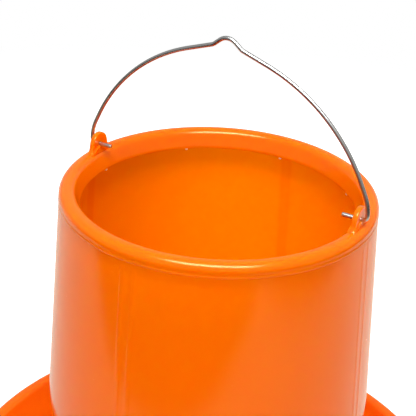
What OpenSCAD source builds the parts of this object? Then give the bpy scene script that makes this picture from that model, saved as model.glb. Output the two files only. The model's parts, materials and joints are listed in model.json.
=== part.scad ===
// Hanging feeder for poultry: a hopper moulded with its rolled rim and two bail ears,
// a round pan with a feed cone and four upright straps, a wire bail, and four clamp bolts
// with washers and wing nuts that set how high the hopper stands above the pan floor.
// The origin is under the middle of the pan. The bail axis runs along X.

/* [Hopper tube] */
// Height of the hopper from its lower edge to the lip under its rim
hopper_h = 318; // [280:1:360]
// Outer radius of the tube at the lip
tube_top_r = 114.6; // [108:0.1:122]
// Lean of the tube wall, wider downwards, in degrees
tube_lean = 3.85; // [2.5:0.05:5]
// Distance from the lip down to the widest place of the tube
belly_drop = 161; // [145:1:175]
// Radius of the curve that draws the wall in below its widest place
belly_arc_r = 135; // [115:1:150]
// Steepest angle at which the shoulder runs inward, in degrees
shoulder_turn = 30; // [24:1:36]
// How far the outside of the straight neck lies inside the tube's outer radius at the lip
neck_step = 16.2; // [14:0.1:24]
// Radius of the hollow curve from the shoulder into the neck
neck_arc_r = 20; // [10:1:30]
// Thickness of the hopper wall, the rim and the skirt
wall_t = 2; // [1.6:0.1:2.6]

/* [Hopper rim] */
// Height of the rim top above the lip
rim_rise = 8.7; // [8:0.1:12]
// Width of the rim, from the outside of the tube to where the skirt begins
rim_w = 12.4; // [10.6:0.1:16]
// Radius of the outer rounding of the rim
rim_out_round = 5.5; // [4:0.1:6]
// Radius of the inner rounding of the rim
rim_in_round = 6; // [4:0.1:6]
// Lean of the skirt inside the mouth, narrower downwards, in degrees
skirt_lean = 18; // [8:1:24]
// Distance from the lip down to the lower edge of the skirt
skirt_drop = 5.8; // [3:0.1:12]
// How far the lip bead stands proud of the tube
lip_stand = 0.5; // [0.3:0.1:1.2]
// Height of the lip bead
lip_h = 1.8; // [1:0.1:3]
// Number of webs inside the hollow rim
web_n = 8; // [4:4:16]
// Thickness of each web
web_t = 2; // [1.4:0.1:3]
// How far a web reaches below the skirt, where it shows as a pip
web_pip = 0.9; // [0.4:0.1:2]

/* [Hopper ribs] */
// Width of each upright rib
rib_w = 8; // [5:0.5:14]
// How far a rib stands proud of the tube
rib_stand = 0.8; // [0.5:0.1:1.5]
// Distance from the lip down to the top end of a rib
rib_start = 3; // [2:0.5:20]

/* [Bail and ears] */
// Diameter of the bail wire
wire_d = 3; // [2.5:0.1:4]
// Running clearance round the wire in an ear hole
wire_clear = 0.08; // [0.04:0.01:0.1]
// How far the middle of an ear lies inside the tube's outer radius at the lip
ear_inset = 7.6; // [5.6:0.1:9.6]
// Thickness of an ear
ear_t = 3.8; // [3:0.1:5]
// Radius of the round head of an ear
ear_r = 9; // [7:0.5:12]
// Width of an ear at its foot
ear_foot_w = 21; // [19:0.5:26]
// Height of the ear hole above the rim top
ear_rise = 5.3; // [4:0.1:8]
// Distance from the ear's outer face to the start of the wire's bend
bend_start = 0.5; // [0.3:0.1:2]
// Radius of the wire's bend beside an ear, at its centre line
bend_r = 3.4; // [2.5:0.1:6]
// Distance from the middle of an ear to the cut end of the wire inside it
wire_tail = 12; // [6:0.5:18]
// Lean of a bail leg towards the middle, just above its bend, in degrees
leg_lean = 2; // [1:0.1:6]
// Radius of the lower curve of a bail leg
leg_arc_r = 36; // [28:1:48]
// Turn of the lower curve, in degrees
leg_turn = 24; // [20:0.5:27]
// Straight length between the lower and the upper curve
leg_run = 7; // [4:0.5:12]
// Radius of the upper curve of the bail
crown_arc_r = 130; // [115:1:136]
// Turn of the upper curve, in degrees
crown_turn = 45.5; // [41:0.5:48]
// Radius of the bend where the hanging kink leaves the arch
kink_foot_r = 6; // [4:0.5:10]
// Turn of that bend, in degrees
kink_turn = 20.5; // [12:0.5:30]
// Straight length of each side of the hanging kink
kink_side = 5.4; // [3:0.2:9]
// Radius of the top of the hanging kink
kink_top_r = 9.4; // [7:0.2:12]

/* [Pan] */
// Outer radius of the pan
pan_r = 210.5; // [190:0.5:230]
// Height of the pan
pan_h = 62; // [50:1:75]
// Thickness of the pan's floor, wall, lip and cone
pan_t = 2.6; // [2:0.1:3.2]
// Lean of the pan wall away from upright, in degrees
pan_lean = 21; // [10:1:30]
// Inner radius of the pan's curve from floor to wall
pan_fillet = 14; // [6:1:24]
// Width of the rolled lip
pan_lip_w = 12; // [10:0.5:18]
// Radius of the inner rounding of the rolled lip
pan_lip_in_round = 4; // [3.4:0.1:5]
// Radius of the outer rounding of the rolled lip
pan_lip_out_round = 5; // [3.4:0.1:5]
// Height of the rolled lip's outer skirt
pan_lip_h = 11; // [8:0.5:18]
// Width of the small moulding nub on the lip
nub_w = 8; // [4:0.5:12]
// How far the nub stands proud of the lip
nub_stand = 0.8; // [0.5:0.1:1.5]
// Place of the nub round the lip, in degrees from the bail axis
nub_angle = 173; // [165:1:176]

/* [Feed cone and straps] */
// Gap on the pan floor between the foot of the feed cone and a strap
cone_gap = 9.3; // [6:0.1:20]
// Height of the feed cone above the underside of the pan
cone_h = 76; // [60:1:90]
// Radius of the round tip of the cone
cone_tip_r = 12; // [6:0.5:18]
// Width of an upright strap
strap_w = 20; // [17:0.5:26]
// Thickness of a strap
strap_t = 3; // [2.5:0.1:4]
// Height of material above a strap's slot
strap_cap = 9; // [6:0.5:14]
// Thickness of the gusset that ties a strap to the cone
gusset_t = 3; // [2:0.1:4]
// Height of the gusset at the strap
gusset_h = 40; // [20:1:42]

/* [Feed gap and clamps] */
// Gap under the hopper's lower edge at the low stop
feed_gap = 13.4; // [8:0.2:20]
// Travel of the hopper from the low stop to the high stop
feed_travel = 20; // [10:1:24]
// Height of the clamp bolts above the hopper's lower edge
bolt_rise = 40; // [38:0.5:46]
// Diameter of a clamp bolt
bolt_d = 6; // [5:0.5:8]
// Radial clearance of a bolt in its boss
bolt_clear = 0.2; // [0.1:0.05:0.4]
// Sliding clearance between pieces that pass each other
slide_clear = 0.3; // [0.3:0.05:0.5]
// Diameter of a bolt's domed head
head_d = 14; // [12:0.5:16]
// Height of a bolt's domed head
head_h = 3.4; // [2.5:0.1:4.5]
// Length of thread that shows beyond a wing nut
thread_show = 2.4; // [1:0.2:6]
// Radius of the flat boss round each bolt
boss_r = 10; // [9:0.5:12]
// How far the boss stands proud of the neck
boss_stand = 3; // [2:0.1:5]
// How far the boss stands into the neck, past a strap's corners
boss_in_stand = 1.3; // [0.8:0.1:2]
// Diameter of a washer
washer_d = 17; // [14:0.5:19]
// Thickness of a washer
washer_t = 1.2; // [0.8:0.1:2]
// Gap between a wing nut and its washer, with the nut run just clear
nut_gap = 0.3; // [0.3:0.05:0.6]
// Running clearance of a wing nut on its bolt
nut_clear = 0.06; // [0.03:0.01:0.1]
// Height of a wing nut's hub
nut_h = 8; // [6:0.5:10]
// Diameter of the hub at the washer
nut_foot_d = 13; // [11:0.5:16]
// Diameter of the hub at its outer end
nut_top_d = 10; // [9:0.5:12]
// Distance between the tips of the two wings
wing_span = 32; // [26:1:40]
// Thickness of a wing
wing_t = 2.4; // [1.8:0.1:3.2]
// Radius of the round end of a wing
wing_r = 5; // [4:0.5:7]
// How far the wings reach beyond the hub
wing_rise = 6; // [3:0.5:9]
// How far the wings start above the foot of the hub
wing_foot = 1; // [0.5:0.1:2]
// Angle at which the lower side of a wing meets its round end, in degrees
wing_low_angle = -30; // [-50:5:-10]
// Angle at which the upper side of a wing meets its round end, in degrees
wing_high_angle = 120; // [100:5:140]

/* [Hidden] */
$fn = 96;

// Joins that overlap inside one moulding sink this far into each other
sink = 0.5;
// A cutting tool runs this far past the faces it opens
past = 1;
// Two pieces of wire stop this short of their join, where a ball a hair larger than the
// wire bridges them
join_gap = 0.02;
join_swell = 0.02;
// Number of steps in a small rounding and in a long curve
round_steps = 8;
curve_steps = 18;

orange = [1.0, 0.43, 0.03];
pan_orange = [0.98, 0.42, 0.05];
zinc = [0.72, 0.72, 0.70];

// Radii that follow the tube
neck_r = tube_top_r - neck_step;
rim_in_r = tube_top_r - rim_w;
ear_x = tube_top_r - ear_inset;
wire_end_x = ear_x - wire_tail;

// Heights that follow from the sizes above
hopper_z = pan_t + feed_gap;
lip_z = hopper_z + hopper_h;
rim_top_z = lip_z + rim_rise;
hole_z = rim_top_z + ear_rise;
bolt_z = hopper_z + bolt_rise;
skirt_z = lip_z - skirt_drop;

// Belly curve: it touches the leaning tube wall, and its middle lies at the widest place
belly_z = lip_z - belly_drop;
belly_touch_z = belly_z + belly_arc_r * sin(tube_lean);
belly_touch_r = tube_top_r + tan(tube_lean) * (lip_z - belly_touch_z);
belly_mid_r = belly_touch_r - belly_arc_r * cos(tube_lean);

// Shoulder: a straight run that touches the belly curve above and the neck curve below
shoulder_top = [belly_mid_r + belly_arc_r * cos(shoulder_turn),
                belly_z - belly_arc_r * sin(shoulder_turn)];
shoulder_low_r = neck_r + neck_arc_r * (1 - cos(shoulder_turn));
shoulder_low_z = shoulder_top[1] - (shoulder_top[0] - shoulder_low_r) / tan(shoulder_turn);
neck_top_z = shoulder_low_z - neck_arc_r * sin(shoulder_turn);

// Clamp places along the axis of a bolt, counted from the hopper axis
boss_in_x = sqrt(pow(neck_r - wall_t, 2) - pow(strap_w / 2, 2)) - boss_in_stand;
strap_out_x = boss_in_x - slide_clear;
strap_in_x = strap_out_x - strap_t;
head_x = strap_in_x - slide_clear;
cone_base_r = strap_in_x - cone_gap;
boss_out_x = neck_r + boss_stand;
washer_out_x = boss_out_x + washer_t;
nut_x = washer_out_x + nut_gap;
bolt_end_x = nut_x + nut_h + thread_show;

// Bail outline: the leg ends upright by its bend, then two curves and a straight run reach
// the hanging kink, whose own width and rise are worked out from its bends
bend_x = ear_x + ear_t / 2 + bend_start;
slope_turn = leg_lean + leg_turn + crown_turn;
slope = 90 - slope_turn;
kink_slope = slope + kink_turn;
leg_top_lean = leg_lean + leg_turn;
kink_w = kink_top_r * sin(kink_slope) + kink_side * cos(kink_slope)
       + kink_foot_r * (sin(kink_slope) - sin(slope));
kink_foot_x = bend_x + bend_r * cos(leg_lean)
            - leg_arc_r * (cos(leg_lean) - cos(leg_top_lean)) - leg_run * sin(leg_top_lean)
            - crown_arc_r * (cos(leg_top_lean) - cos(slope_turn));
arch_run = (kink_foot_x - kink_w) / sin(slope_turn);
bail_rise = bend_r * (1 + sin(leg_lean)) + leg_arc_r * (sin(leg_top_lean) - sin(leg_lean))
          + leg_run * cos(leg_top_lean) + crown_arc_r * (sin(slope_turn) - sin(leg_top_lean))
          + arch_run * cos(slope_turn) + kink_foot_r * (cos(slope) - cos(kink_slope))
          + kink_side * sin(kink_slope) + kink_top_r * (1 - cos(kink_slope));

// Points along an arc round a middle point, from one angle to another
function arc(mid, rad, a0, a1, steps) =
    [for (i = [0 : steps]) let (a = a0 + (a1 - a0) * i / steps)
        [mid[0] + rad * cos(a), mid[1] + rad * sin(a)]];

// The list in the other order
function backward(list) = [for (i = [len(list) - 1 : -1 : 0]) list[i]];

// Outline of the hopper wall from its lower edge up to the lip, moved out by off
function wall_path(off, low_z, high_z) = concat(
    [[neck_r + off, low_z]],
    arc([neck_r + neck_arc_r, neck_top_z], neck_arc_r - off, 180, 180 - shoulder_turn,
        round_steps),
    arc([belly_mid_r, belly_z], belly_arc_r + off, -shoulder_turn, tube_lean, curve_steps),
    [[tube_top_r + tan(tube_lean) * (lip_z - high_z) + off / cos(tube_lean), high_z]]);

// Outer side of the rim: the lip bead, the outer rounding, the inner rounding and the skirt
rim_out_mid = [tube_top_r - rim_out_round, rim_top_z - rim_out_round];
rim_in_mid = [rim_in_r + rim_in_round, rim_top_z - rim_in_round];
skirt_top = [rim_in_mid[0] - rim_in_round * cos(skirt_lean),
             rim_in_mid[1] + rim_in_round * sin(skirt_lean)];
skirt_low_r = skirt_top[0] - tan(skirt_lean) * (skirt_top[1] - skirt_z);
skirt_across = wall_t / cos(skirt_lean);
rim_outside = concat(
    [[tube_top_r + lip_stand, lip_z - lip_h / 2 + lip_stand],
     [tube_top_r + lip_stand, lip_z + lip_h / 2 - lip_stand],
     [tube_top_r, lip_z + lip_h / 2]],
    arc(rim_out_mid, rim_out_round, 0, 90, round_steps),
    arc(rim_in_mid, rim_in_round, 90, 180 - skirt_lean, round_steps),
    [[skirt_low_r, skirt_z]]);
rim_inside = concat(
    [[skirt_low_r + skirt_across, skirt_z]],
    arc(rim_in_mid, rim_in_round - wall_t, 180 - skirt_lean, 90, round_steps),
    arc(rim_out_mid, rim_out_round - wall_t, 90, 0, round_steps));

// Feed cone: its side touches the round tip and ends at the cone's foot on the pan floor
tip_mid_z = cone_h - cone_tip_r;
tip_reach = sqrt(pow(cone_base_r, 2) + pow(tip_mid_z - pan_t, 2));
cone_slope = atan2(tip_mid_z - pan_t, cone_base_r) + asin(cone_tip_r / tip_reach);
cone_under_r = cone_base_r - pan_t * sin(cone_slope)
             + (pan_t - pan_t * cos(cone_slope)) / tan(cone_slope);

// Pan wall: it touches the curve at the floor and the inner rounding of the lip
lip_in_mid = [pan_r - pan_lip_w + pan_lip_in_round, pan_h - pan_lip_in_round];
lip_out_mid = [pan_r - pan_lip_out_round, pan_h - pan_lip_out_round];
wall_high = [lip_in_mid[0] - pan_lip_in_round * cos(pan_lean),
             lip_in_mid[1] + pan_lip_in_round * sin(pan_lean)];
wall_low_z = pan_t + pan_fillet * (1 - sin(pan_lean));
floor_r = wall_high[0] - pan_fillet * cos(pan_lean) - (wall_high[1] - wall_low_z) * tan(pan_lean);
fillet_mid = [floor_r, pan_t + pan_fillet];
pan_outline = concat(
    arc([0, tip_mid_z], cone_tip_r, 90, 90 - cone_slope, round_steps),
    [[cone_base_r, pan_t]],
    arc(fillet_mid, pan_fillet, -90, -pan_lean, round_steps),
    arc(lip_in_mid, pan_lip_in_round, 180 - pan_lean, 90, round_steps),
    arc(lip_out_mid, pan_lip_out_round, 90, 0, round_steps),
    [[pan_r, pan_h - pan_lip_h], [pan_r - pan_t, pan_h - pan_lip_h]],
    arc(lip_out_mid, pan_lip_out_round - pan_t, 0, 90, round_steps),
    arc(lip_in_mid, pan_lip_in_round - pan_t, 90, 180 - pan_lean, round_steps),
    arc(fillet_mid, pan_fillet + pan_t, -pan_lean, -90, round_steps),
    [[cone_under_r, 0]],
    arc([0, tip_mid_z], cone_tip_r - pan_t, 90 - cone_slope, 90, round_steps));

// Turns a piece that is drawn along X to the clamp place with this number
module at_clamp(i) { rotate([0, 0, 90 * (i - 1)]) children(); }

// Turns a shape that stands along Z to lie along X, starting at x
module along_x(x) { translate([x, 0, 0]) rotate([0, 90, 0]) children(); }

// One rib: a narrow slice of a layer that follows the tube from the lip to the shoulder
module rib() {
    slice = rib_w / (tube_top_r * PI) * 180;
    low_z = neck_top_z - neck_arc_r;
    rotate([0, 0, -slice / 2])
        rotate_extrude(angle = slice)
            polygon(concat(wall_path(rib_stand, low_z, lip_z - rib_start),
                           backward(wall_path(-sink, low_z, lip_z - rib_start))));
}

// One web: a thin upright plate across the hollow of the rim
module rim_web() {
    out_r = tube_top_r - wall_t + sink;
    top_z = rim_top_z - wall_t + sink;
    foot_z = skirt_z - web_pip;
    foot_r = skirt_low_r;
    rotate([90, 0, 0])
        translate([0, 0, -web_t / 2])
            linear_extrude(web_t)
                polygon([[foot_r, foot_z], [out_r, foot_z], [out_r, rim_out_mid[1]],
                         [rim_out_mid[0], top_z], [rim_in_mid[0], top_z],
                         [skirt_top[0] + skirt_across - sink, skirt_top[1]],
                         [foot_r, skirt_z]]);
}

// Outline of an ear: a round head on a foot that widens into the rim. The sides run from the
// corners of the foot to where they touch the round head.
module ear_outline() {
    foot_z = rim_top_z - rim_out_round;
    reach = hole_z - foot_z;
    half = ear_foot_w / 2;
    side = acos(ear_r / sqrt(reach * reach + half * half)) - atan2(reach, half);
    touch = [ear_r * cos(side), hole_z + ear_r * sin(side)];
    translate([0, hole_z]) circle(ear_r);
    polygon([[-half, foot_z], [half, foot_z], touch, [-touch[0], touch[1]]]);
}

module hopper_body() {
    difference() {
        union() {
            rotate_extrude()
                polygon(concat(wall_path(0, hopper_z, lip_z - lip_h / 2), rim_outside, rim_inside,
                               backward(wall_path(-wall_t, hopper_z, lip_z - lip_h / 2))));
            for (i = [1 : 4]) at_clamp(i) {
                rib();
                translate([0, 0, bolt_z])
                    along_x(boss_in_x) cylinder(r = boss_r, h = boss_out_x - boss_in_x);
            }
            for (i = [0 : web_n - 1]) rotate([0, 0, 360 / web_n * i]) rim_web();
            for (turn = [0, 180])
                rotate([0, 0, turn])
                    translate([ear_x - ear_t / 2, 0, 0])
                        rotate([90, 0, 90]) linear_extrude(ear_t) ear_outline();
        }
        for (i = [1 : 4]) at_clamp(i)
            translate([0, 0, bolt_z])
                along_x(boss_in_x - past)
                    cylinder(d = bolt_d + 2 * bolt_clear, h = boss_out_x - boss_in_x + 2 * past);
        for (turn = [0, 180])
            rotate([0, 0, turn])
                translate([0, 0, hole_z])
                    along_x(ear_x - ear_t)
                        cylinder(d = wire_d + 2 * wire_clear, h = 2 * ear_t);
    }
}

// A straight piece of wire, with the ball that joins it to the piece before it
module wire_run(len) {
    rotate([-90, 0, 0]) translate([0, 0, join_gap]) cylinder(d = wire_d, h = len - 2 * join_gap);
    sphere(d = wire_d + 2 * join_swell);
}

// A bend of wire to the left, with the ball that joins it to the piece before it
module wire_bend(rad, turn) {
    trim = join_gap / rad * 180 / PI;
    translate([-rad, 0, 0])
        rotate([0, 0, trim])
            rotate_extrude(angle = turn - 2 * trim) translate([rad, 0]) circle(d = wire_d);
    sphere(d = wire_d + 2 * join_swell);
}

// Moves to the end of a bend and turns with it
module after_bend(rad, turn) {
    translate([-rad, 0, 0]) rotate([0, 0, turn]) translate([rad, 0, 0]) children();
}

// One half of the bail in its own plane: each piece starts where the one before it ends
module half_bail() {
    start = bend_x - wire_end_x;
    translate([wire_end_x, 0, 0]) rotate([0, 0, -90]) {
        rotate([-90, 0, 0]) cylinder(d = wire_d, h = start - join_gap);
        translate([0, start, 0]) wire_bend(bend_r, 90 + leg_lean);
        translate([0, start, 0]) after_bend(bend_r, 90 + leg_lean) {
            wire_bend(leg_arc_r, leg_turn);
            after_bend(leg_arc_r, leg_turn) wire_run(leg_run);
            after_bend(leg_arc_r, leg_turn) translate([0, leg_run, 0]) {
                wire_bend(crown_arc_r, crown_turn);
                after_bend(crown_arc_r, crown_turn) wire_run(arch_run);
                after_bend(crown_arc_r, crown_turn) translate([0, arch_run, 0]) kink_half();
            }
        }
    }
}

// One side of the hanging kink: a bend back and a straight run up to its round top
module kink_half() {
    mirror([1, 0, 0]) wire_bend(kink_foot_r, kink_turn);
    mirror([1, 0, 0]) after_bend(kink_foot_r, kink_turn) {
        wire_run(kink_side);
        translate([0, kink_side, 0]) sphere(d = wire_d + 2 * join_swell);
    }
}

// The whole bail: two halves, and the round top of the kink between them
module bail() {
    trim = join_gap / kink_top_r * 180 / PI;
    translate([0, 0, hole_z]) rotate([90, 0, 0]) {
        half_bail();
        mirror([1, 0, 0]) half_bail();
        translate([0, bail_rise - kink_top_r, 0])
            rotate([0, 0, 90 - kink_slope + trim])
                rotate_extrude(angle = 2 * (kink_slope - trim))
                    translate([kink_top_r, 0]) circle(d = wire_d);
    }
}

// One upright strap with its slot, and the gusset that ties it to the feed cone
module strap() {
    slot_w = bolt_d + 2 * slide_clear;
    slot_low = bolt_z - slot_w / 2;
    slot_high = bolt_z + feed_travel + slot_w / 2;
    top_z = slot_high + strap_cap;
    corner = strap_w / 4;
    along_strap = [90, 0, 90];
    translate([strap_in_x, 0, 0])
        rotate(along_strap)
            linear_extrude(strap_t)
                difference() {
                    union() {
                        translate([-strap_w / 2, pan_t / 2])
                            square([strap_w, top_z - corner - pan_t / 2]);
                        translate([-strap_w / 2 + corner, pan_t / 2])
                            square([strap_w - 2 * corner, top_z - pan_t / 2]);
                        for (side = [-1, 1])
                            translate([side * (strap_w / 2 - corner), top_z - corner])
                                circle(corner);
                    }
                    translate([-slot_w / 2, slot_low]) square([slot_w, slot_high - slot_low]);
                }
    gusset_cone_r = cone_base_r - gusset_h / 2 / tan(cone_slope) - sink;
    rotate([90, 0, 0])
        translate([0, 0, -gusset_t / 2])
            linear_extrude(gusset_t)
                polygon([[cone_base_r - sink, pan_t / 2], [strap_in_x + sink, pan_t / 2],
                         [strap_in_x + sink, gusset_h], [gusset_cone_r, pan_t + gusset_h / 2]]);
}

module pan() {
    rotate_extrude($fn = 144) polygon(pan_outline);
    for (i = [1 : 4]) at_clamp(i) strap();
    rotate([0, 0, nub_angle])
        translate([pan_r - pan_t, -nub_w / 2, pan_h - pan_lip_h])
            cube([pan_t + nub_stand, nub_w, pan_lip_h - pan_lip_out_round]);
}

// A bolt with a domed head inside the hopper and a square neck that rides in the strap's slot
module clamp_bolt() {
    dome_r = (pow(head_d / 2, 2) + head_h * head_h) / (2 * head_h);
    dome_angle = asin(head_d / 2 / dome_r);
    neck_len = strap_out_x - head_x;
    translate([0, 0, bolt_z]) {
        along_x(head_x)
            rotate_extrude()
                polygon(concat([[0, 0]],
                    [for (i = [0 : round_steps]) let (a = dome_angle * (1 - i / round_steps))
                        [dome_r * sin(a), dome_r - head_h - dome_r * cos(a)]]));
        translate([head_x - sink, -bolt_d / 2, -bolt_d / 2])
            cube([neck_len + sink, bolt_d, bolt_d]);
        along_x(head_x) cylinder(d = bolt_d, h = bolt_end_x - head_x);
    }
}

module washer() {
    translate([0, 0, bolt_z]) along_x(boss_out_x)
        difference() {
            cylinder(d = washer_d, h = washer_t);
            translate([0, 0, -past])
                cylinder(d = bolt_d + 2 * bolt_clear, h = washer_t + 2 * past);
        }
}

// One wing in outline: a round end that leans out past the hub, and sides that reach the hub
module wing_outline() {
    mid = [wing_span / 2 - wing_r, nut_h + wing_rise - wing_r];
    top_z = nut_h - sink;
    translate(mid) circle(wing_r);
    polygon([[0, wing_foot], [nut_top_d / 2 - sink, wing_foot],
             mid + wing_r * [cos(wing_low_angle), sin(wing_low_angle)],
             mid + wing_r * [cos(wing_high_angle), sin(wing_high_angle)],
             [nut_top_d / 2 - sink, top_z], [0, top_z]]);
}

// A wing nut: a tapered hub with a round-ended wing on either side
module wing_nut() {
    translate([0, 0, bolt_z]) along_x(nut_x)
        difference() {
            union() {
                cylinder(d1 = nut_foot_d, d2 = nut_top_d, h = nut_h);
                for (turn = [0, 180])
                    rotate([90, 0, turn])
                        translate([0, 0, -wing_t / 2]) linear_extrude(wing_t) wing_outline();
            }
            translate([0, 0, -past])
                cylinder(d = bolt_d + 2 * nut_clear, h = nut_h + 2 * past);
            translate([0, 0, nut_h])
                cylinder(d = nut_top_d - sink, h = wing_rise + past);
        }
}

module hopper() { color(orange) hopper_body(); }
module bail_handle() { color(zinc) bail(); }
module feed_pan() { color(pan_orange) pan(); }
module one_bolt(i) { color(zinc) at_clamp(i) clamp_bolt(); }
module one_washer(i) { color(zinc) at_clamp(i) washer(); }
module one_nut(i) { color(zinc) at_clamp(i) wing_nut(); }

hopper();
bail_handle();
feed_pan();
one_bolt(1);  // clamp_bolt_1
one_bolt(2);  // clamp_bolt_2
one_bolt(3);  // clamp_bolt_3
one_bolt(4);  // clamp_bolt_4
one_washer(1);  // washer_1
one_washer(2);  // washer_2
one_washer(3);  // washer_3
one_washer(4);  // washer_4
one_nut(1);  // wing_nut_1
one_nut(2);  // wing_nut_2
one_nut(3);  // wing_nut_3
one_nut(4);  // wing_nut_4
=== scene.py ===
"""Looks of a hanging poultry feeder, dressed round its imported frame.

Lengths are in metres. Z is up, X runs along the bail's hinge, and the origin is under the middle
of the pan. Angles are in degrees until they meet numpy.
"""

import json
import math

import bmesh
import bpy
import numpy as np
from mathutils import Matrix, Vector


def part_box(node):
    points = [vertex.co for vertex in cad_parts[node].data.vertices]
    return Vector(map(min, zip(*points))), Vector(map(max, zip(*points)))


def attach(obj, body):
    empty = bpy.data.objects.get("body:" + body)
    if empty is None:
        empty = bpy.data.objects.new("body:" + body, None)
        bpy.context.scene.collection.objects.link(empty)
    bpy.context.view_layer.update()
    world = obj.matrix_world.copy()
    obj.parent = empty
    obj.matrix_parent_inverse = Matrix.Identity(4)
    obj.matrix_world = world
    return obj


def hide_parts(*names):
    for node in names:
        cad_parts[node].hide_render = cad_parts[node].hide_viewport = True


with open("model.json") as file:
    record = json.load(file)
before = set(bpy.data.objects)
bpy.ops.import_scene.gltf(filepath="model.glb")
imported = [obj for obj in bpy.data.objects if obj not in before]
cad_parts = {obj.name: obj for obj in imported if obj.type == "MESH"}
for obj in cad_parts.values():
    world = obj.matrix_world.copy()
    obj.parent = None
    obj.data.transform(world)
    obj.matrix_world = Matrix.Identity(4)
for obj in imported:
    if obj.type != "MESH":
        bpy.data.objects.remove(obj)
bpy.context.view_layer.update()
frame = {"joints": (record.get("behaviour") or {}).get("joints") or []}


# Places that come from the frame
hinge_place = {joint["name"]: joint.get("pos_m") for joint in frame["joints"]}
hole_z = hinge_place["bail_swing"][2]
bolt_z = hinge_place["nut_turn_1"][2]
hopper_low, hopper_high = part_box("hopper")
pan_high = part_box("feed_pan")[1]
head_low, bolt_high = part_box("clamp_bolt_1")
washer_low, washer_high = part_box("washer_1")
nut_low, nut_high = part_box("wing_nut_1")

# Hopper wall
wall = 0.002
tube_top_r = 0.1146
tube_lean = 3.85
belly_drop = 0.161
belly_arc_r = 0.135
shoulder_turn = 30
neck_r = 0.0984
neck_arc_r = 0.020
foot_z = hopper_low.z
edge_round = 0.0007

# Faces that meet at more than this angle, in degrees, keep a crisp edge
crease = 38

# In edge radii: where a plate's flat face starts, and how far points stay from a sharp corner
face_start = 1.3
corner_clear = 1.5

# Hopper rim, whose top lies a fixed rise under the ear holes
hole_rise = 0.0053
rim_rise = 0.0087
rim_top_z = hole_z - hole_rise
lip_z = rim_top_z - rim_rise
rim_in_r = 0.1022
rim_out_round = 0.0055
rim_in_round = 0.006
skirt_lean = 18
skirt_drop = 0.0058
lip_stand = 0.0003
lip_h = 0.0018
web_count = 8
web_t = 0.002
web_pip = 0.0013
web_root = 0.0004
web_round = 0.0006
web_edge = 0.0004

# Ribs, in line with the ears and square to them, each a pair of low ridges
rib_count = 4
ridge_off = 0.0043
ridge_w = 0.0036
rib_stand = 0.00016
rib_start = 0.003
rib_fade = 0.002
rib_edge = 0.0010

# Ears, and how they flare and swell towards the rim
ear_angles = (0, 180)
ear_x = 0.107
ear_t = 0.0038
ear_r = hopper_high.z - hole_z
ear_foot_half = 0.0105
ear_edge = 0.0009
ear_root = 0.0020
ear_flare = 0.0016
ear_flare_reach = 0.0011
ear_swell = 0.0022
ear_swell_reach = 0.0009
ear_hole_clear = 0.00012
ear_hole_edge = 0.0003

# Bail wire
wire_d = 0.003
wire_end_x = 0.095
wire_end_round = 0.0003
wire_step = 0.0016
bend_x = ear_x + ear_t / 2 + 0.0005
bend_r = 0.0034
leg_lean = 2
leg_arc_r = 0.036
leg_turn = 24
leg_run = 0.007
crown_arc_r = 0.130
crown_turn = 45.5
kink_foot_r = 0.006
kink_turn = 20.5
kink_side = 0.0054
kink_top_r = 0.0094

# Pan
pan_r = pan_high.x
pan_h = 0.062
pan_t = 0.0026
pan_lean = 21
pan_fillet = 0.014
pan_lip_w = 0.012
pan_lip_in_round = 0.004
pan_lip_out_round = 0.005
pan_lip_h = 0.011
cone_base_r = 0.082
cone_h = 0.076
cone_tip_r = 0.012
nub_angle = 173
nub_w = 0.008
nub_stand = 0.0008
nub_round = 0.0012
nub_edge = 0.8 * nub_stand

# Straps, whose slots hold the clamp bolts
strap_w = 0.020
strap_t = 0.003
strap_top_z = pan_high.z
strap_cap = 0.009
strap_foot_round = 0.0009
strap_edge = 0.0006
slot_w = 0.0066
slot_low_z = bolt_z - slot_w / 2
slot_high_z = strap_top_z - strap_cap
slot_squareness = 10
slot_edge = 0.0003
gusset_t = 0.003
gusset_h = 0.040
gusset_root = 0.0005
gusset_round = 0.0006
gusset_edge = 0.0004

# Clamp hardware, measured along a bolt from the hopper's axis
clamp_angles = (0, 90, 180, 270)
clamp_play = 0.0003
bolt_d = 0.006
bolt_clear = 0.0002
bolt_tip_flat = 0.0001
head_d = 0.014
head_h = 0.0034
head_rim = 0.0003
head_dome_part = 0.985
head_x = head_low.x + head_h
square_round = 0.0004
square_root = 0.0004
square_edge = 0.0002
strap_in_x = head_x + clamp_play
strap_out_x = strap_in_x + strap_t
boss_in_x = strap_out_x + clamp_play
boss_out_x = washer_low.x
boss_r = 0.010
boss_rounds = (0.0002, 0.0006, 0.0008, 0.0002)
boss_cut_edge = 0.0001
bolt_end_x = bolt_high.x
thread_pitch = 0.001
thread_depth = 0.00055
washer_d = washer_high.z - washer_low.z
washer_rounds = (0.0001, 0.0001, 0.0004, 0.0002)
nut_x = nut_low.x
nut_hub_h = 0.008
nut_foot_d = 0.013
nut_foot_h = 0.0012
nut_top_d = 0.010
nut_bore_r = 0.00306
nut_rounds = (0.0003, 0.0003, 0.0006, 0.0009, 0.0003)
wing_half = (nut_high.z - nut_low.z) / 2
wing_r = 0.005
wing_from, wing_to = -30, 120
wing_rise = nut_high.x - nut_low.x - nut_hub_h
wing_t = 0.0024
wing_edge = 0.42 * wing_t
wing_low = 0.001
wing_high = nut_hub_h - 0.0005
wing_root = 0.0001


# Curves in a plane


def arc(mid, radius, start, end, count):
    """Points mid + radius * (cos a, sin a), with a in degrees from start to end in count steps."""
    a = np.radians(np.linspace(start, end, count + 1))
    return np.stack([mid[0] + radius * np.cos(a), mid[1] + radius * np.sin(a)], axis=1)


def straight(start, end, count):
    """Points start + t * (end - start), with t from 0 to 1 in count steps."""
    t = np.linspace(0, 1, count + 1)[:, None]
    return np.asarray(start) * (1 - t) + np.asarray(end) * t


def bends(*pieces):
    """One curve from pieces in order, without the points that repeat where two pieces meet."""
    points = np.concatenate(pieces)
    step = np.linalg.norm(np.diff(points, axis=0), axis=1)
    return points[np.concatenate([[True], step > 1e-7])]


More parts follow.
